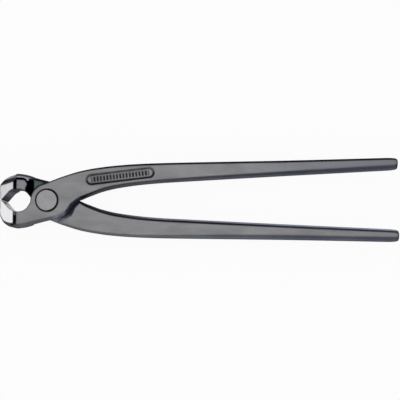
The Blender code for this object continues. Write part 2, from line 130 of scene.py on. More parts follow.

# Flush rivet: its round rim, the depth of the dish at the centre and at a share of the head's
# radius, the heights between which the countersink runs down to the shank, the depths below the
# face over which it darkens, and the distances inside the rim over which painted shade darkens
# it. RIVET_FLAT_FROM_RIM is counted in rims.
RIVET_SEGMENTS = 96
RIVET_RIM = 0.4
RIVET_RIM_STEPS = 5
RIVET_DISH = (0.05, 0.04)
RIVET_DISH_R_SHARE = 0.6
RIVET_FLAT_FROM_RIM = 1.6
COUNTERSINK_Z = (5.0, 3.2)
SHANK_R = 4.7
RIVET_SHARP_DEG = 40.0
RIVET_TOP_DEPTH = (0.35, 0.15)
RIVET_RIM_SHADE = (0.3, 0.1)
RIVET_RIM_SHADE_MORE = 0.3

# Camera: place and target in millimetres, clip start in metres
CAMERA = (94.9, -54.05, 633.25)
TARGET = (94.9, 0.32, -6.75)
FIELD_OF_VIEW_DEG = 22.04
ROLL_DEG = -0.2
CLIP_START = 0.01

# Floor, dome and lamp, in metres. The dome's strength rises between two heights of the direction,
# and FLOOR_WHITE is the share of white that the floor shows to the camera and in reflections.
FLOOR_HALF = 2.0
FLOOR_WHITE = 0.93
FLOOR_COLOUR = (0.93, 0.93, 0.93, 1)
FLOOR_ROUGHNESS = 0.9
DOME_RISE = (0.0, 0.60)
DOME_STRENGTH = (0.12, 0.82)
DOME_COLOUR = (0.99, 0.995, 1.0, 1)
LAMP_SIZE = (0.9, 0.6)
LAMP_WATTS = 0.6
LAMP_PLACE = (0.02, 0.12, 0.95)
LAMP_TARGET = (0.09, 0, 0)

# Colours of the forgings; a pair is the dark and the light end of an uneven colour
FACE = ((0.212, 0.212, 0.221, 1), (0.276, 0.275, 0.287, 1))
COOL_FACE = (0.200, 0.200, 0.230, 1)
# The sides' darker colours are painted shade, bluer towards the handle's end
SHADED_SIDE = ((0.095, 0.097, 0.106, 1), (0.118, 0.120, 0.131, 1))
BLUER_SHADED_SIDE = ((0.090, 0.096, 0.126, 1), (0.112, 0.119, 0.154, 1))
# Painted shade on the lap: darker greenish grey in the recess, and near black round the other
# half's disc, along its back and on its chamfer
RECESS_SHADE = (0.105, 0.135, 0.128, 1)
SCALE = (0.014, 0.020, 0.018, 1)
# Painted highlight on the rims, and painted shade on the outer corner's facet, uneven by noise
RIM_HIGHLIGHT = (0.42, 0.41, 0.48, 1)
FACET_SHADE = ((0.008, 0.008, 0.009, 1), (0.045, 0.045, 0.048, 1))
OXIDE = (0.24, 0.24, 0.29, 1)
# Painted shade in the crotch between the halves
CROTCH_SHADE = (0.045, 0.058, 0.085, 1)
# Near-black painted shade on walls, the pocket's brim and the ground face's corner line
HOLLOW_SHADE = (0.010, 0.012, 0.018, 1)
WORN = (0.42, 0.42, 0.43, 1)
WORN_SHARE = 0.12
# Painted shade in the panel's groove and bars, and the painted shadow ring round the rivet
SUNK_SHADE = (0.014, 0.014, 0.016, 1)
# Dimmed specular tint of the sides, a painted shade on their reflections
SIDE_GLANCE = (0.4, 0.4, 0.42)
SIDE_GLANCE_FULL_AT = 0.67
FULL_GLANCE = (1, 1, 1, 1)

# Colours of the ground blades, where the halves differ as they do in the photo's light
# The flanks are lit and shaded copies: the rear one dark with dimmed reflections and a painted
# highlight on its belly, the front one light with painted shade at its tip
FRONT_BLADE = {
    "ground": ((0.66, 0.66, 0.67, 1), (0.80, 0.80, 0.81, 1)),
    "flank": (0.50, 0.49, 0.55, 1),
    "flank_light_shade": (0.17, 0.165, 0.19, 1),
    "flank_light_shade_mask": "tip",
    "flank_glance": FULL_GLANCE,
}
REAR_BLADE = {
    "ground": ((0.50, 0.50, 0.51, 1), (0.66, 0.66, 0.67, 1)),
    "flank": (0.030, 0.029, 0.036, 1),
    "flank_light_shade": (0.17, 0.165, 0.20, 1),
    "flank_light_shade_mask": "belly",
    "flank_glance": (*SIDE_GLANCE, 1),
}

# Colours of the rivet
RIVET_FACE = ((0.285, 0.285, 0.29, 1), (0.325, 0.325, 0.33, 1))
# Dark rivet colour below the heads' faces and as painted shade round their rims
RIVET_SIDE = (0.02, 0.02, 0.022, 1)

# Noises: length of the grains along x, y and z in millimetres, and detail
GRAIN = ((0.9, 0.5, 0.5), 4.0)
BRUSHING = ((9.0, 0.35, 0.35), 3.0)
BLOTCH = ((3.5, 1.6, 1.6), 3.0)
GRINDING = ((0.16, 6.0, 6.0), 3.0)
CLOUD = ((26.0, 9.0, 9.0), 2.0)
RIVET_GRAIN = ((0.8, 0.8, 0.8), 4.0)
RIVET_CLOUD = ((7.0, 7.0, 7.0), 2.0)
NOISE_ROUGHNESS = 0.55
TURNED_RINGS = {"Scale": 1.1, "Distortion": 0.6, "Detail": 1.0}

# What the noises do: scales of a colour, roughness, and strength and height of the bumps
GRAIN_TINT = (0.93, 1.07)
FLANK_TINT = (0.85, 1.15)
RIVET_TINT = (0.95, 1.05)
FORGED_ROUGHNESS = (0.36, 0.50)
GROUND_ROUGHNESS = (0.22, 0.34)
RIVET_ROUGHNESS = (0.34, 0.46)
DULL_METALLIC = 0.1
FORGED_BUMP = (0.35, 0.03)
RIVET_BUMP = (0.12, 0.02)

# Spans of noise that are mapped to a whole range
TEXTURE_SPAN = (0.7, 1.3)
CLOUD_SPAN = (0.35, 0.65)
GRAIN_SPAN = (0.3, 0.7)
FACET_SHADE_SPAN = (0.4, 0.6)
WORN_SPAN = (0.35, 0.62)


def smoothstep(low, high, value):
    """Numpy's smooth step from 0 at low to 1 at high."""
    t = np.clip((value - low) / (high - low), 0.0, 1.0)
    return t * t * (3 - 2 * t)


def rise(span, value):
    """Smooth step from 0 to 1 over a span."""
    return smoothstep(span[0], span[1], value)


def fall(span, value):
    """Smooth step from 1 to 0 over a span."""
    return 1 - smoothstep(span[0], span[1], value)


def between(span, value):
    """Whether the value lies inside a span."""
    return (value > span[0]) & (value < span[1])


class Graph:
    """A material's node tree and short ways to add to it."""

    def __init__(self, name):
        self.material = bpy.data.materials.new(name)
        self.material.use_nodes = True
        self.tree = self.material.node_tree
        self.shader = self.tree.nodes["Principled BSDF"]

    def put(self, socket, value):
        """Link a socket's source or set its number."""
        if isinstance(value, bpy.types.NodeSocket):
            self.tree.links.new(value, socket)
        else:
            socket.default_value = value

    def add(self, kind, inputs=None, **settings):
        """A new node; inputs is {socket name or index: number or source}."""
        node = self.tree.nodes.new("ShaderNode" + kind)
        for key, value in settings.items():
            setattr(node, key, value)
        for key, value in (inputs or {}).items():
            self.put(node.inputs[key], value)
        return node

    def mask(self, name):
        """The value of a mesh attribute."""
        return self.add("Attribute", attribute_name=name).outputs["Fac"]

    def place(self, stretch):
        """Object coordinates in millimetres, divided by the stretch."""
        source = self.add("TexCoord").outputs["Object"]
        scale = [1.0 / MM / s for s in stretch]
        return self.add("Mapping", {0: source, 3: scale}).outputs[0]

    def speckle(self, stretch, detail):
        """Noise whose grains are about stretch millimetres long."""
        settings = {"Vector": self.place(stretch), "Scale": 1.0, "Detail": detail,
                    "Roughness": NOISE_ROUGHNESS, "Distortion": 0.0}
        return self.add("TexNoise", settings).outputs["Fac"]

    def spread(self, value, low, high, to_low=0.0, to_high=1.0):
        """The value's range from low to high, mapped and clamped."""
        inputs = {0: value, 1: low, 2: high, 3: to_low, 4: to_high}
        return self.add("MapRange", inputs).outputs[0]

    def math(self, operation, a, b):
        """A Math node's operation on two values."""
        return self.add("Math", {0: a, 1: b}, operation=operation).outputs[0]

    def blend(self, factor, a, b):
        """Colour mix from a to b."""
        node = self.add("Mix", {0: factor, 6: a, 7: b}, data_type="RGBA")
        return node.outputs[2]

    def mix(self, factor, a, b):
        """Number mix from a to b."""
        return self.add("Mix", {0: factor, 2: a, 3: b}).outputs[0]

    def uneven(self, noise, span, colours):
        """Colour between a dark and a light one, by noise."""
        return self.blend(self.spread(noise, *span), *colours)

    def scaled(self, colour, factor):
        """Colour times a value."""
        node = self.add("VectorMath", {0: colour, 3: factor}, operation="SCALE")
        return node.outputs[0]

    def bump(self, height, strength, distance_mm):
        """Give the shader's surface small bumps."""
        inputs = {"Height": height, "Strength": strength, "Distance": distance_mm * MM}
        self.put(self.shader.inputs["Normal"], self.add("Bump", inputs).outputs[0])


def forged_colour(g, grain, blotch):
    """Colour of the forging without its ground faces, from the plain faces up."""
    cloud = g.speckle(*CLOUD)
    face = g.uneven(cloud, CLOUD_SPAN, FACE)
    face = g.blend(g.mask("cool"), face, COOL_FACE)
    # Painted shade on the sides, scaled by the painted light of bright
    plain = g.uneven(cloud, CLOUD_SPAN, SHADED_SIDE)
    side = g.blend(g.mask("bluer_side"), plain, g.uneven(cloud, CLOUD_SPAN, BLUER_SHADED_SIDE))
    side = g.scaled(side, g.mask("bright"))
    colour = g.blend(g.mask("side"), face, side)
    # Painted shade on the lap: darker in the recess, near black by the disc, along the back and
    # on the chamfer
    colour = g.blend(g.mask("recess"), colour, RECESS_SHADE)
    colour = g.blend(g.mask("scale"), colour, SCALE)
    # Painted highlight on the rims and painted shade on the outer corner's facet
    colour = g.blend(g.mask("rim"), colour, RIM_HIGHLIGHT)
    colour = g.blend(g.mask("facet"), colour, g.uneven(blotch, FACET_SHADE_SPAN, FACET_SHADE))
    # Dull oxide, darkened by painted shade in the crotch
    oxide = g.blend(g.mask("crotch"), OXIDE, CROTCH_SHADE)
    colour = g.blend(g.mask("dull"), colour, oxide)
    # Painted shade on the walls, the brim and round the ground face's corner
    colour = g.blend(g.mask("hollow_shade"), colour, HOLLOW_SHADE)
    colour = g.scaled(colour, g.spread(grain, *GRAIN_SPAN, *GRAIN_TINT))
    worn = g.math("MULTIPLY", g.mask("edge"), g.spread(grain, *WORN_SPAN))
    colour = g.blend(g.math("MULTIPLY", worn, WORN_SHARE), colour, WORN)
    # Painted shade in the panel and the painted shadow ring round the rivet
    return g.blend(g.mask("sunk_shade"), colour, SUNK_SHADE)


def forged_steel(name, blade):
    """Dark finished forging with brushed faces, sides darkened by painted shade and a bright
    ground blade.
    """
    g = Graph(name)
    grain = g.speckle(*GRAIN)
    brushing = g.speckle(*BRUSHING)
    blotch = g.speckle(*BLOTCH)
    lines = g.speckle(*GRINDING)

    colour = forged_colour(g, grain, blotch)
    colour = g.blend(g.mask("ground"), colour, g.uneven(lines, GRAIN_SPAN, blade["ground"]))
    # Flank: painted highlight on the rear's belly and painted shade at the front's tip
    flank = g.blend(g.mask(blade["flank_light_shade_mask"]), blade["flank"], blade["flank_light_shade"])
    flank = g.scaled(flank, g.spread(blotch, *CLOUD_SPAN, *FLANK_TINT))
    g.put(g.shader.inputs["Base Color"], g.blend(g.mask("flank"), colour, flank))

    texture = g.math("ADD", grain, brushing)
    dull = g.spread(texture, *TEXTURE_SPAN, *FORGED_ROUGHNESS)
    polish = g.spread(lines, *GRAIN_SPAN, *GROUND_ROUGHNESS)
    g.put(g.shader.inputs["Roughness"], g.mix(g.mask("ground"), dull, polish))
    metallic = g.spread(g.mask("dull"), 0.0, 1.0, 1.0, DULL_METALLIC)
    g.put(g.shader.inputs["Metallic"], metallic)
    # Painted shade on reflections: the sides' specular tint is dimmed and follows the painted
    # light of bright, and the rear flank's is dimmed too
    side_glance = g.scaled(SIDE_GLANCE, g.spread(g.mask("bright"), 0.0, SIDE_GLANCE_FULL_AT))
    glance = g.blend(g.mask("side"), FULL_GLANCE, side_glance)
    glance = g.blend(g.mask("flank"), glance, blade["flank_glance"])
    g.put(g.shader.inputs["Specular Tint"], glance)
    g.bump(g.mix(g.mask("ground"), texture, lines), *FORGED_BUMP)
    return g.material


def rivet_steel(name):
    """Lighter rivet face with the fine turned marks of its heading tool."""
    g = Graph(name)
    grain = g.speckle(*RIVET_GRAIN)
    cloud = g.speckle(*RIVET_CLOUD)
    # Darker below the heads' faces, and painted shade round their rims
    colour = g.blend(g.mask("side"), g.uneven(cloud, CLOUD_SPAN, RIVET_FACE), RIVET_SIDE)
    colour = g.scaled(colour, g.spread(grain, *GRAIN_SPAN, *RIVET_TINT))
    g.put(g.shader.inputs["Base Color"], colour)
    rings = g.add("TexWave", {"Vector": g.place((1.0, 1.0, 1.0)), **TURNED_RINGS},
                  wave_type="RINGS", rings_direction="Z")
    g.put(g.shader.inputs["Roughness"], g.spread(grain, *GRAIN_SPAN, *RIVET_ROUGHNESS))
    g.put(g.shader.inputs["Metallic"], 1.0)
    g.bump(rings.outputs["Fac"], *RIVET_BUMP)
    return g.material


def mesh_arrays(mesh):
    """Points and edges of a mesh as arrays."""
    points = np.zeros(len(mesh.vertices) * 3)
    mesh.vertices.foreach_get("co", points)
    edges = np.zeros(len(mesh.edges) * 2, dtype=np.int64)
    mesh.edges.foreach_get("vertices", edges)
    return points.reshape(-1, 3), edges.reshape(-1, 2)


def point_normals(mesh, points):
    """Normals of the mesh's points once they are at the given places."""
    mesh.vertices.foreach_set("co", points.ravel())
    mesh.update()
    normals = np.zeros(len(points) * 3)
    mesh.vertex_normals.foreach_get("vector", normals)
    return normals.reshape(-1, 3)


def neighbour_mean(values, edges):
    """For each point, the mean of the values at the points joined to it."""
    one, two = edges.T
    count = np.bincount(edges.ravel(), minlength=len(values))
    mean = np.empty_like(values)
    for column in range(values.shape[1]):
        total = np.bincount(one, values[two, column], len(values))
        total += np.bincount(two, values[one, column], len(values))
        mean[:, column] = total / count
    return mean


def squeezed(x):
    """Places along x with the handle's plain stretch shortened."""
    return np.where(x > SQUEEZE_FROM, SQUEEZE_FROM + (x - SQUEEZE_FROM) / SQUEEZE, x)


def unsqueezed(x):
    """Places along x with the handle at its full length again."""
    return np.where(x > SQUEEZE_FROM, SQUEEZE_FROM + (x - SQUEEZE_FROM) * SQUEEZE, x)


def remeshed(node, to_local):
    """Fine even mesh of a node's solid in the front half's frame, handle squeezed."""
    bm = bmesh.new()
    bm.from_mesh(node.data)
    bm.transform(to_local)
    bmesh.ops.bisect_plane(bm, geom=bm.verts[:] + bm.edges[:] + bm.faces[:],
                           plane_co=(SQUEEZE_FROM, 0, 0), plane_no=(1, 0, 0))
    for vert in bm.verts:
        vert.co.x = float(squeezed(vert.co.x))
    mesh = bpy.data.meshes.new("remesh_source")
    bm.to_mesh(mesh)
    bm.free()
    source = bpy.data.objects.new("remesh_source", mesh)
    bpy.context.scene.collection.objects.link(source)
    modifier = source.modifiers.new("voxels", "REMESH")
    modifier.mode = "VOXEL"
    modifier.voxel_size = VOXEL
    depsgraph = bpy.context.evaluated_depsgraph_get()
    result = bpy.data.meshes.new_from_object(source.evaluated_get(depsgraph))
    bpy.data.objects.remove(source)
    bpy.data.meshes.remove(mesh)
    return result


def panel_place(x, y):
    """Places along and across the handle's panel, from its centre."""
    tilt = math.radians(PANEL_TILT_DEG)
    right, up = x - PANEL_CENTRE[0], y - PANEL_CENTRE[1]
    along = right * math.cos(tilt) + up * math.sin(tilt)
    across = up * math.cos(tilt) - right * math.sin(tilt)
    return along, across


def panel_dark(x, y, z):
    """Painted shade in the panel's groove, and bars of painted shade on the ridges between its
    slots.
    """
    along, across = panel_place(x, y)
    radius = (PANEL_HEIGHT - GROOVE_WIDTH) / 2
    past_end = np.maximum(np.abs(along) - (PANEL_LENGTH - PANEL_HEIGHT) / 2, 0)
    off_line = np.abs(np.hypot(past_end, across) - radius)
    groove = fall([GROOVE_WIDTH * share for share in GROOVE_FADE], off_line)
    groove *= 1 - GROOVE_TOP_LESS * (across > 0)
    off_bar = np.abs((along / BAR_PITCH + 0.5) % 1.0 - 0.5) * BAR_PITCH
    bars = fall([BAR_SIZE[0] * share for share in BAR_WIDTH_FADE], off_bar)
    bars *= fall([BAR_SIZE[1] * share for share in BAR_HEIGHT_FADE], np.abs(across))
    bars *= np.abs(along) < BARS_HALF_LENGTH
    return np.maximum(groove, bars) * (z > 0)


def crispness(points):
    """How far each point keeps its place while the forged edges are rounded."""
    x, y, z = points.T
    blade = fall(BLADE_CRISP_END_X, x)
    pocket = (x < POCKET_BELOW[0]) & (y < POCKET_BELOW[1]) & (z < POCKET_BELOW[2])
    along, across = panel_place(x, y)
    panel = ((np.abs(along) < PANEL_LENGTH / 2 + PANEL_MARGIN)
             & (np.abs(across) < PANEL_HEIGHT / 2 + PANEL_MARGIN))
    return np.maximum(np.maximum(blade, pocket * POCKET_SHARE) * CRISP, panel * PANEL_CRISP)


def flash_line(points, normals):
    """Outward push along the middle of the handle's sides."""
    x, y, z = points.T
    sides = rise(FLASH_FACING, np.abs(normals[:, 1]))
    middle = fall((FLASH_HALF_WIDTH * FLASH_CORE, FLASH_HALF_WIDTH), np.abs(z))
    along = rise((FLASH_FROM_X, FLASH_FROM_X + FLASH_FADE_IN), x)
    along *= fall((HANDLE_END_X - FLASH_STOP[0], HANDLE_END_X - FLASH_STOP[1]), x)
    return sides * middle * along * FLASH_HEIGHT


class Places:
    """The points of a skin and what the masks have to know about them."""

    def __init__(self, points, normals):
        self.x, self.y, self.z = points.T
        self.to_x, self.to_y, self.to_z = normals.T
        # 1 where the surface faces along the pivot's axis, 0 on the sides
        self.flat = np.abs(self.to_z)
        self.radius = np.hypot(self.x, self.y)
        self.turn = np.degrees(np.arctan2(self.y, self.x))


# Places that the masks use, in millimetres in the front half's frame. A pair is a span, over
# which a mask fades or within which it lies, but MOUTH, CORNER, FACET_START and FACET_END are
# points (x, y). A name with FLAT is compared with Places.flat, one with FACING with a part of a
# direction, one with DEG with an angle round the pivot, and one with R with a distance from the
# pivot, or from CORNER for the line round it.
STEP_TOP_X = -19.97
STEP_FOOT_X = -18.9
MOUTH = (-17.9, 0.15)
PARTING_Z = (-1.0, 1.0)
SIDE_FACING = (0.2, 0.5)
TINY_R = 0.1

# Ground faces on the sides of the blade, with a line of painted shade round the back corner of
# the +z one
GROUND_END_X = (STEP_TOP_X - 0.1, STEP_TOP_X + 0.3)
GROUND_Z = (JAW_HALF - 0.5, JAW_HALF - 0.3)
GROUND_FLAT = (0.86, 0.94)
CORNER = (-21.9, -13.3)
CORNER_IN_R = (1.6, 2.0)
CORNER_OUT_R = (2.7, 3.1)
CORNER_QUARTER = (-0.3, 0.3)
CORNER_Z = (7.5, 8.0)

# Flank of the mouth, ground up to the cutting edge
FLANK_START_X = (-28.2, -27.6)
FLANK_END_X = (-17.5, -15.5)
FLANK_FLAT = (0.3, 0.5)
FLANK_FROM_MOUTH = (9.3, 9.6)
TIP_X = (-26.0, -24.2)
BELLY_X = -23.3
BELLY_WIDTH = 1.5

# Facet of painted shade and rim of painted highlight on the far outer corner of the jaw, and
# painted highlight on the rim of the pocket
FACET_START = (-27.34, -8.92)
FACET_END = (STEP_TOP_X, -11.25)
FACET_FROM = (0.3, 1.4)
FACET_TO = (3.3, 3.9)
FACET_END_X = (-20.5, -19.5)
FACET_BELOW_Y = -4.0
FACET_BELOW_Z = 4.0
SLOPED_FACING = (0.05, 0.25)
RIM_DEPTH = (7.0, 8.0)
RIM_START_X = (-20.5, -19.0)
RIM_END_X = (-10.6, -9.4)
RIM_BELOW_Y = (-13.8, -13.4)
HOOK_FROM_X = -13.6
HOOK_BELOW_Y = -10.3

# Sides, whose span lies higher by SIDE_FLAT_MORE along the edge over the joint
SIDE_FLAT = (0.78, 0.96)
SIDE_FLAT_MORE = (0.15, 0.03)
JOINT_EDGE_FACING = (0.03, 0.15)
JOINT_EDGE_START_X = (-8.0, 0.0)
JOINT_EDGE_END_X = (30.0, 50.0)
JOINT_EDGE_Z = (0.0, 2.0)

# Painted shade on the walls behind the jaw, at the step and round the pocket's brim
JAW_WALL_X = (-17.5, -8.5)
JAW_WALL_BELOW_Y = 3.0
JAW_WALL_BELOW_Z = -0.4
JAW_WALL_FACING = 0.25
STEP_WALL_X = (STEP_TOP_X - 0.2, STEP_FOOT_X + 0.2)
STEP_WALL_FLAT = 0.8
STEP_WALL_FROM_Z = 6.9
WALLS_FROM_Y = (-13.6, -12.6)
BRIM_START_X = (-19.8, -19.4)
BRIM_END_X = (-11.0, -10.6)
BRIM_START_Y = (-14.45, -14.15)
BRIM_END_Y = (-10.8, -10.4)
BRIM_START_Z = (-10.95, -10.65)
BRIM_END_Z = (-6.6, -6.2)
BRIM_FLAT = (0.8, 0.9)
BRIM_FACING = (-0.4, -0.2)

# Lap: its face, the painted shade on it in the recess, round the other half's disc and along its
# back, and the chamfer beside it with painted shade too. BACK_LINE is the outline of the lap's
# back as x places and y places.
LAP_Z = 0.15
LAP_DEPTH = 0.5
LAP_FLAT = 0.8
LAP_END_X = 24.0
RECESS_END_X = (2.0, 6.0)
LAP_SHADE_R = (11.4, 12.2)
LAP_SHADE_FROM_BACK = (1.6, 2.6)
LAP_SHADE_END_X = 4.0
BACK_LINE = ((-9.4, -4.0, 1.8), (-15.28, -13.8, -12.35))
CHAMFER_Z = 1.0
CHAMFER_DEPTH = 1.0
CHAMFER_FLAT = (0.3, 0.85)
CHAMFER_BELOW_Y = -9.0
CHAMFER_HALF_X = 9.5

# Crotch between the handles, dark with painted shade: shoulder, bevel of the neck and the nook
# between them
SHOULDER_R = (14.2, 21.0)
SHOULDER_FROM_X = 5.0
SHOULDER_FROM_Y = -1.0
SHOULDER_BELOW_Z = -0.2
SHOULDER_FLAT = 0.8
BEVEL_X = (1.0, 22.0)
BEVEL_Y = (-13.5, 1.5)
BEVEL_FROM_Z = -0.5
BEVEL_FLAT = 0.9
NOOK_R = (11.0, 25.0)
NOOK_FROM_X = 1.0
NOOK_FROM_Y = 0.0
NOOK_BELOW_Z = 0.7
NOOK_BELOW_DEG = 80.0
RAMP_FLAT = 0.97
RAMP_FROM_Y = 3.0
RAMP_FACING = (-0.1, 0.15)
CROTCH_START_X = (10.0, 12.5)
CROTCH_END_DEG = (29.0, 41.0)
DULL_START_X = (2.0, 7.0)
DULL_END_X = (20.0, 23.0)

# Ring of painted shadow round the rivet, darker on its right. The rivet's own painted shade round
# its rim is also wider there.
RING_R = (RIVET_HEAD_R + 0.55, RIVET_HEAD_R + 0.55 + 0.3)
RING_FROM_Z = LAP_HALF - 1.5
RING_RIGHT_FACING = (-0.3, 0.6)
RING_LEAST = 0.3
RING_MORE = 0.7

# Cooler and bluer tone towards the handle's end, on the faces and in the sides' painted shade
COOL_X = (110.0, 190.0)
COOL_MOST = 0.8
BLUER_SIDE_X = (40.0, 180.0)

# Light of the photo on the sides: scales of their colour at stations along x, on the near (+z)
# and the far side of the parting line
BACK_NEAR = ((-22.0, -15.0), (0.8, 1.35))
BACK_FAR = 0.75
BACK_BELOW_Y = (-10.0, -8.0)
BACK_END_X = (10.0, 16.0)
INNER_NEAR = ((20.0, 27.0, 46.0, 96.0, 150.0), (0.4, 1.0, 1.0, 1.15, 1.02))
INNER_FAR = ((30.0, 45.0, 58.0, 72.0, 110.0, 150.0), (0.7, 0.9, 2.0, 3.0, 2.4, 3.6))
INNER_START_X = (14.5, 17.5)
INNER_BELOW_Y = (4.5, 7.5)
INNER_ALL_X = (22.0, 26.0)
INNER_LINE_START_FLAT = (0.5, 0.65)
INNER_LINE_END_FLAT = (0.85, 0.93)
INNER_LINE_DARKER = 0.85
OUTER_NEAR = ((10.0, 30.0), (0.12, 0.36))
OUTER_FAR = ((60.0, 130.0, 200.0), (1.5, 1.38, 1.15))
OUTER_FACING = (0.1, 0.4)
OUTER_START_X = (-8.0, 2.0)
NOSE_END_X = (-25.5, -23.5)
NOSE_FROM_Z = (6.0, 8.0)
NOSE_DARKER = 0.65
END_X = (HANDLE_END_X - 1.8, HANDLE_END_X - 1.0)
END_FACING = (0.1, 0.4)
END_DARKER = 0.8


def corner_line(p):
    """Quarter circle of painted shade that rounds the back corner of the +z ground face."""
    from_corner = np.hypot(p.x - CORNER[0], p.y - CORNER[1])
    line = rise(CORNER_IN_R, from_corner) * fall(CORNER_OUT_R, from_corner)
    line *= rise(CORNER_QUARTER, p.x - CORNER[0]) * fall(CORNER_QUARTER, p.y - CORNER[1])
    return line * rise(CORNER_Z, p.z)


def ground_side(p):
    """Ground faces on the sides of the blade."""
    return fall(GROUND_END_X, p.x) * rise(GROUND_Z, np.abs(p.z)) * rise(GROUND_FLAT, p.flat)


def mouth_flank(p):
    """Flank between the mouth and the cutting edge."""
    flank = fall(FLANK_END_X, p.x) * fall(FLANK_FLAT, p.flat)
    flank *= fall(FLANK_FROM_MOUTH, np.hypot(p.x - MOUTH[0], p.y - MOUTH[1]))
    return flank * rise(FLANK_START_X, p.x)


def rim_and_facet(p):
    """Painted highlight on the rim of the pocket and jaw, and painted shade on the facet inside
    it on the outer corner.
    """
    hook = (p.y < HOOK_BELOW_Y) & (p.x > HOOK_FROM_X)
    rim = rise(RIM_DEPTH, -p.z) * np.maximum(fall(RIM_BELOW_Y, p.y), hook)
    rim = rim * rise(RIM_START_X, p.x) * fall(RIM_END_X, p.x)
    sloped = rise(SLOPED_FACING, -p.to_z)
    run = np.subtract(FACET_END, FACET_START) / math.dist(FACET_END, FACET_START)
    past = (p.x - FACET_START[0]) * run[1] - (p.y - FACET_START[1]) * run[0]
    corner = (p.z < FACET_BELOW_Z) * fall(FACET_END_X, p.x) * (p.y < FACET_BELOW_Y)
    facet = corner * rise(FACET_FROM, past) * fall(FACET_TO, past)
    rim = np.maximum(rim, corner * rise(FACET_TO, past))
    return rim * sloped, facet * sloped


def forged_side(p):
    """Sides of the forging, down from their edge with the faces, whose colour is painted shade.
    """
    joint_edge = rise(JOINT_EDGE_FACING, p.to_y) * rise(JOINT_EDGE_START_X, p.x)
    joint_edge *= fall(JOINT_EDGE_END_X, p.x) * rise(JOINT_EDGE_Z, p.z)
    low, high = [flat + more * joint_edge for flat, more in zip(SIDE_FLAT, SIDE_FLAT_MORE)]
    return 1 - smoothstep(low, high, p.flat)


def dark_walls(p):
    """Painted shade on the walls behind the jaw and at the step, and on the pocket's brim."""
    jaw = between(JAW_WALL_X, p.x) & (p.y < JAW_WALL_BELOW_Y) & (p.z < JAW_WALL_BELOW_Z)
    jaw &= p.to_x > JAW_WALL_FACING
    step = between(STEP_WALL_X, p.x) & (p.flat < STEP_WALL_FLAT)
    step &= np.abs(p.z) > STEP_WALL_FROM_Z
    brim = rise(BRIM_START_X, p.x) * fall(BRIM_END_X, p.x)
    brim *= rise(BRIM_START_Y, p.y) * fall(BRIM_END_Y, p.y)
    brim *= rise(BRIM_START_Z, p.z) * fall(BRIM_END_Z, p.z)
    brim *= fall(BRIM_FLAT, p.flat) * rise(BRIM_FACING, p.to_y)
    return np.maximum((jaw | step) * rise(WALLS_FROM_Y, p.y), brim)


def lap_face(p):
    """Face on which the two halves slide."""
    return (np.abs(p.z - LAP_Z) < LAP_DEPTH) & (p.flat > LAP_FLAT) & (p.x < LAP_END_X)


def painted_lap_shade(p, lap):
    """Near-black painted shade on the lap round the other half's disc near the rivet and along
    its back, and on its chamfer.
    """
    from_back = p.y - np.interp(p.x, *BACK_LINE)
    scale = fall(LAP_SHADE_R, p.radius) + fall(LAP_SHADE_FROM_BACK, from_back)
    chamfer = (np.abs(p.z - CHAMFER_Z) < CHAMFER_DEPTH) & between(CHAMFER_FLAT, p.flat)
    chamfer &= (p.y < CHAMFER_BELOW_Y) & (np.abs(p.x) < CHAMFER_HALF_X)
    return np.maximum(lap * (p.x < LAP_SHADE_END_X) * np.minimum(scale, 1), chamfer)


def crotch_and_dull(p, lap):
    """Painted shade in the crotch between the halves, and the whole of its dull oxide."""
    shoulder = between(SHOULDER_R, p.radius) & (p.z < SHOULDER_BELOW_Z) & (p.flat < SHOULDER_FLAT)
    shoulder &= (p.x > SHOULDER_FROM_X) & (p.y > SHOULDER_FROM_Y)
    bevel = between(BEVEL_X, p.x) & between(BEVEL_Y, p.y)
    bevel &= (p.z > BEVEL_FROM_Z) & (p.flat < BEVEL_FLAT)
    nook = between(NOOK_R, p.radius) & (p.z < NOOK_BELOW_Z) & (p.turn < NOOK_BELOW_DEG)
    nook &= (p.x > NOOK_FROM_X) & (p.y > NOOK_FROM_Y)
    towards_pivot = -(p.to_x * p.x + p.to_y * p.y) / np.maximum(p.radius, TINY_R)
    ramp = (nook & (p.flat < RAMP_FLAT) & (p.y > RAMP_FROM_Y)) * rise(RAMP_FACING, towards_pivot)
    crotch = bevel * rise(CROTCH_START_X, p.x)
    crotch = np.maximum(crotch, shoulder | (lap & nook)) * (1 - bevel) + crotch * bevel
    crotch *= 1 - rise(CROTCH_END_DEG, p.turn) * (1 - bevel)
    dull = np.maximum(bevel * rise(DULL_START_X, p.x), np.maximum(ramp, lap * nook))
    return crotch, dull * fall(DULL_END_X, p.x)


def rivet_ring(p):
    """Ring of painted shadow round the rivet's head, darker on its right."""
    right = rise(RING_RIGHT_FACING, p.x / np.maximum(p.radius, TINY_R))
    return (p.z > RING_FROM_Z) * fall(RING_R, p.radius) * (RING_LEAST + RING_MORE * right)


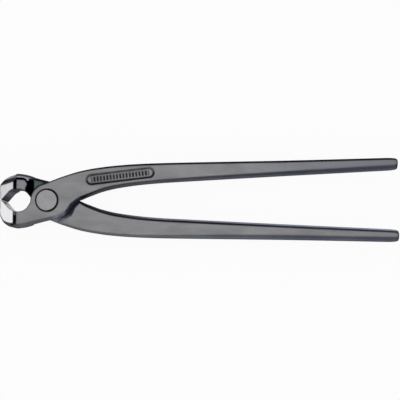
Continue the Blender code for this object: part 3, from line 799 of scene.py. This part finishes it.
def side_brightness(p):
    """Scale of the sides' colour, which follows the photo's light along the part."""
    near = rise(PARTING_Z, p.z)
    back = rise(SIDE_FACING, -p.to_y) * fall(BACK_BELOW_Y, p.y) * fall(BACK_END_X, p.x)
    back_level = BACK_FAR + (np.interp(p.x, *BACK_NEAR) - BACK_FAR) * near

    inner = rise(SIDE_FACING, -p.to_y) * rise(INNER_START_X, p.x)
    inner *= np.maximum(fall(INNER_BELOW_Y, p.y), rise(INNER_ALL_X, p.x))
    dark_line = rise(INNER_LINE_START_FLAT, p.flat) * fall(INNER_LINE_END_FLAT, p.flat)
    inner_far = np.interp(p.x, *INNER_FAR) * (1 - INNER_LINE_DARKER * dark_line)
    inner_level = inner_far + (np.interp(p.x, *INNER_NEAR) - inner_far) * near

    outer = rise(OUTER_FACING, p.to_y) * rise(OUTER_START_X, p.x)
    outer_far = np.interp(p.x, *OUTER_FAR)
    outer_level = outer_far + (np.interp(p.x, *OUTER_NEAR) - outer_far) * near

    level = 1 + (inner_level - 1) * inner
    level *= 1 + (outer_level - 1) * outer
    level *= 1 + (back_level - 1) * back
    nose = fall(NOSE_END_X, p.x) * fall(BACK_BELOW_Y, p.y) * rise(NOSE_FROM_Z, p.z)
    at_end = rise(END_X, p.x) * rise(END_FACING, p.to_x)
    return level * (1 - NOSE_DARKER * nose) * (1 - END_DARKER * at_end)


def masks(points, normals, edge):
    """Every mask by its name: values from 0 to 1, and a scale for bright."""
    p = Places(points, normals)
    lap = lap_face(p)
    corner = corner_line(p)
    rim, facet = rim_and_facet(p)
    crotch, dull = crotch_and_dull(p, lap)
    return {
        "ground": ground_side(p) * (1 - corner),
        "flank": mouth_flank(p),
        "side": forged_side(p),
        "recess": lap * fall(RECESS_END_X, p.x),
        # scale: painted shade round the other half's disc, along the lap's back and on its
        # chamfer
        "scale": painted_lap_shade(p, lap),
        "rim": rim,
        "facet": facet,
        "crotch": crotch,
        "hollow_shade": np.maximum(dark_walls(p), corner),
        "edge": edge,
        "tip": fall(TIP_X, p.x),
        "belly": np.exp(-((p.x - BELLY_X) / BELLY_WIDTH) ** 2),
        "dull": dull,
        "cool": COOL_MOST * rise(COOL_X, p.x) * rise(PARTING_Z, p.z),
        "bluer_side": rise(BLUER_SIDE_X, p.x),
        "bright": side_brightness(p),
        "sunk_shade": np.maximum(panel_dark(p.x, p.y, p.z), rivet_ring(p)),
    }


def softened(values, edges):
    """The masks with their borders spread over the neighbouring points."""
    field = np.stack(list(values.values()), axis=1).astype(float)
    for _ in range(MASK_ROUNDS):
        mean = neighbour_mean(field, edges)
        field = (field + NEIGHBOUR_WEIGHT * mean) / (1 + NEIGHBOUR_WEIGHT)
    return dict(zip(values, field.T))


def paint(mesh, values):
    """Keep each mask as a mesh attribute."""
    for name, value in values.items():
        attribute = mesh.attributes.new(name, "FLOAT", "POINT")
        attribute.data.foreach_set("value", value.astype(np.float32))


def forged_skin(name, node_name, body, flipped, material):
    """The visible forging that stands for one half of the pliers."""
    to_local = Matrix.Scale(1 / MM, 4) @ Matrix.Translation((0, 0, -JOINT_Z))
    if flipped:
        to_local = Matrix.Rotation(math.pi, 4, "X") @ to_local
    mesh = remeshed(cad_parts[node_name], to_local)
    mesh.name = name
    points, edges = mesh_arrays(mesh)
    places = points.copy()
    places[:, 0] = unsqueezed(points[:, 0])
    give = EDGE_GIVE * (1 - crispness(places))[:, None]
    for _ in range(EDGE_ROUNDS):
        points += (neighbour_mean(points, edges) - points) * give
    points[:, 0] = unsqueezed(points[:, 0])
    normals = point_normals(mesh, points)
    bulge = ((points - neighbour_mean(points, edges)) * normals).sum(axis=1) / VOXEL
    edge = rise(EDGE_BULGE, bulge) * (1 - rise(EDGE_LESS_X, points[:, 0]) * EDGE_LESS)
    values = softened(masks(points, normals, edge), edges)
    points += normals * flash_line(points, normals)[:, None]
    mesh.vertices.foreach_set("co", points.ravel())
    paint(mesh, values)
    mesh.transform(to_local.inverted())
    mesh.shade_smooth()
    mesh.materials.append(material)
    skin = bpy.data.objects.new(name, mesh)
    bpy.context.scene.collection.objects.link(skin)
    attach(skin, body)
    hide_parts(node_name)


def rivet_outline():
    """Half section of the rivet as (radius, height) from one head's centre to the other's."""
    flat_r = RIVET_HEAD_R - RIVET_RIM * RIVET_FLAT_FROM_RIM
    profile = [(0.0, LAP_HALF - RIVET_DISH[0]),
               (RIVET_HEAD_R * RIVET_DISH_R_SHARE, LAP_HALF - RIVET_DISH[1]),
               (flat_r, LAP_HALF)]
    for step in range(1, RIVET_RIM_STEPS + 1):
        angle = math.pi / 2 * step / RIVET_RIM_STEPS
        profile.append((RIVET_HEAD_R - RIVET_RIM + RIVET_RIM * math.sin(angle),
                        LAP_HALF - RIVET_RIM + RIVET_RIM * math.cos(angle)))
    profile += [(RIVET_HEAD_R, COUNTERSINK_Z[0]), (SHANK_R, COUNTERSINK_Z[1]), (SHANK_R, 0.0)]
    return profile + [(r, -z) for r, z in reversed(profile[:-1])]


def turned(outline, name):
    """Mesh of an outline turned about the z axis, closed at both ends."""
    bm = bmesh.new()
    rows = []
    turns = [2 * math.pi * i / RIVET_SEGMENTS for i in range(RIVET_SEGMENTS)]
    for r, z in outline[1:-1]:
        rows.append([bm.verts.new((r * math.cos(turn), r * math.sin(turn), z)) for turn in turns])
    for one, two in zip(rows, rows[1:]):
        for i in range(RIVET_SEGMENTS):
            j = (i + 1) % RIVET_SEGMENTS
            bm.faces.new((one[i], two[i], two[j], one[j]))
    for row, z in ((rows[0], outline[0][1]), (rows[-1], outline[-1][1])):
        centre = bm.verts.new((0, 0, z))
        for i in range(RIVET_SEGMENTS):
            bm.faces.new((row[i], row[(i + 1) % RIVET_SEGMENTS], centre))
    bmesh.ops.recalc_face_normals(bm, faces=bm.faces)
    mesh = bpy.data.meshes.new(name)
    bm.to_mesh(mesh)
    bm.free()
    return mesh


def rivet_dark(points):
    """Darker below the heads' faces, and painted shade round their rims, more on the right."""
    away = np.hypot(points[:, 0], points[:, 1])
    below = fall([LAP_HALF - depth for depth in RIVET_TOP_DEPTH], np.abs(points[:, 2]))
    right = rise(RING_RIGHT_FACING, points[:, 0] / np.maximum(away, TINY_R))
    more = RIVET_RIM_SHADE_MORE * right
    start, end = [RIVET_HEAD_R - depth - more for depth in RIVET_RIM_SHADE]
    return np.maximum(below, smoothstep(start, end, away))


def rivet_skin(material):
    """Flush rivet with rounded rims and faintly dished heads."""
    mesh = turned(rivet_outline(), "rivet_skin")
    paint(mesh, {"side": rivet_dark(mesh_arrays(mesh)[0])})
    mesh.transform(Matrix.Translation((0, 0, JOINT_Z)) @ Matrix.Scale(MM, 4))
    mesh.shade_smooth()
    mesh.set_sharp_from_angle(angle=math.radians(RIVET_SHARP_DEG))
    mesh.materials.append(material)
    skin = bpy.data.objects.new("rivet_skin", mesh)
    bpy.context.scene.collection.objects.link(skin)
    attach(skin, "rear")
    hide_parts("pivot_rivet")


def add_floor():
    """Pale floor that the pliers lie on."""
    half, z = FLOOR_HALF, cad_bounds[0].z
    mesh = bpy.data.meshes.new("floor")
    mesh.from_pydata([(-half, -half, z), (half, -half, z), (half, half, z), (-half, half, z)],
                     [], [(0, 1, 2, 3)])
    g = Graph("floor_paper")
    g.put(g.shader.inputs["Base Color"], FLOOR_COLOUR)
    g.put(g.shader.inputs["Roughness"], FLOOR_ROUGHNESS)
    g.put(g.shader.inputs["Specular IOR Level"], 0.0)
    paths = g.add("LightPath").outputs
    seen = g.math("MAXIMUM", paths["Is Camera Ray"], paths["Is Glossy Ray"])
    seen = g.math("MAXIMUM", seen, paths["Is Transmission Ray"])
    white = g.add("Emission", {"Color": (1, 1, 1, 1), "Strength": 1.0}).outputs[0]
    share = g.math("MULTIPLY", seen, FLOOR_WHITE)
    surface = g.add("MixShader", {0: share, 1: g.shader.outputs[0], 2: white}).outputs[0]
    g.put(g.tree.nodes["Material Output"].inputs["Surface"], surface)
    mesh.materials.append(g.material)
    floor = bpy.data.objects.new("floor", mesh)
    bpy.context.scene.collection.objects.link(floor)


def add_dome():
    """Soft surrounding light, brighter overhead."""
    world = bpy.data.worlds.new("studio")
    bpy.context.scene.world = world
    world.use_nodes = True
    tree = world.node_tree
    direction = tree.nodes.new("ShaderNodeTexCoord")
    split = tree.nodes.new("ShaderNodeSeparateXYZ")
    tree.links.new(direction.outputs["Generated"], split.inputs[0])
    brighter = tree.nodes.new("ShaderNodeMapRange")
    brighter.interpolation_type = "SMOOTHSTEP"
    for index, value in enumerate((*DOME_RISE, *DOME_STRENGTH), start=1):
        brighter.inputs[index].default_value = value
    tree.links.new(split.outputs["Z"], brighter.inputs[0])
    background = tree.nodes["Background"]
    background.inputs["Color"].default_value = DOME_COLOUR
    tree.links.new(brighter.outputs[0], background.inputs["Strength"])


def add_lamp():
    """Large softbox above the object."""
    lamp = bpy.data.lights.new("softbox", "AREA")
    lamp.shape = "RECTANGLE"
    lamp.size, lamp.size_y = LAMP_SIZE
    lamp.energy = LAMP_WATTS
    holder = bpy.data.objects.new("softbox", lamp)
    holder.location = LAMP_PLACE
    aim = Vector(LAMP_TARGET) - holder.location
    holder.rotation_euler = aim.to_track_quat("-Z", "Y").to_euler()
    bpy.context.scene.collection.objects.link(holder)


def add_camera():
    """Camera at the photograph's viewing angle."""
    camera = bpy.data.cameras.new("camera")
    camera.angle = math.radians(FIELD_OF_VIEW_DEG)
    camera.clip_start = CLIP_START
    holder = bpy.data.objects.new("camera", camera)
    place, target = Vector(CAMERA) * MM, Vector(TARGET) * MM
    turn = (target - place).to_track_quat("-Z", "Y").to_matrix().to_4x4()
    roll = Matrix.Rotation(math.radians(ROLL_DEG), 4, "Z")
    holder.matrix_world = Matrix.Translation(place) @ turn @ roll
    bpy.context.scene.collection.objects.link(holder)
    bpy.context.scene.camera = holder


add_camera()
add_dome()
add_lamp()
add_floor()
forged_skin("front_skin", "front_half", "front", False,
            forged_steel("forged_front", FRONT_BLADE))
forged_skin("rear_skin", "rear_half", "rear", True,
            forged_steel("forged_rear", REAR_BLADE))
rivet_skin(rivet_steel("rivet_finish"))
bpy.context.scene.view_settings.view_transform = "Standard"
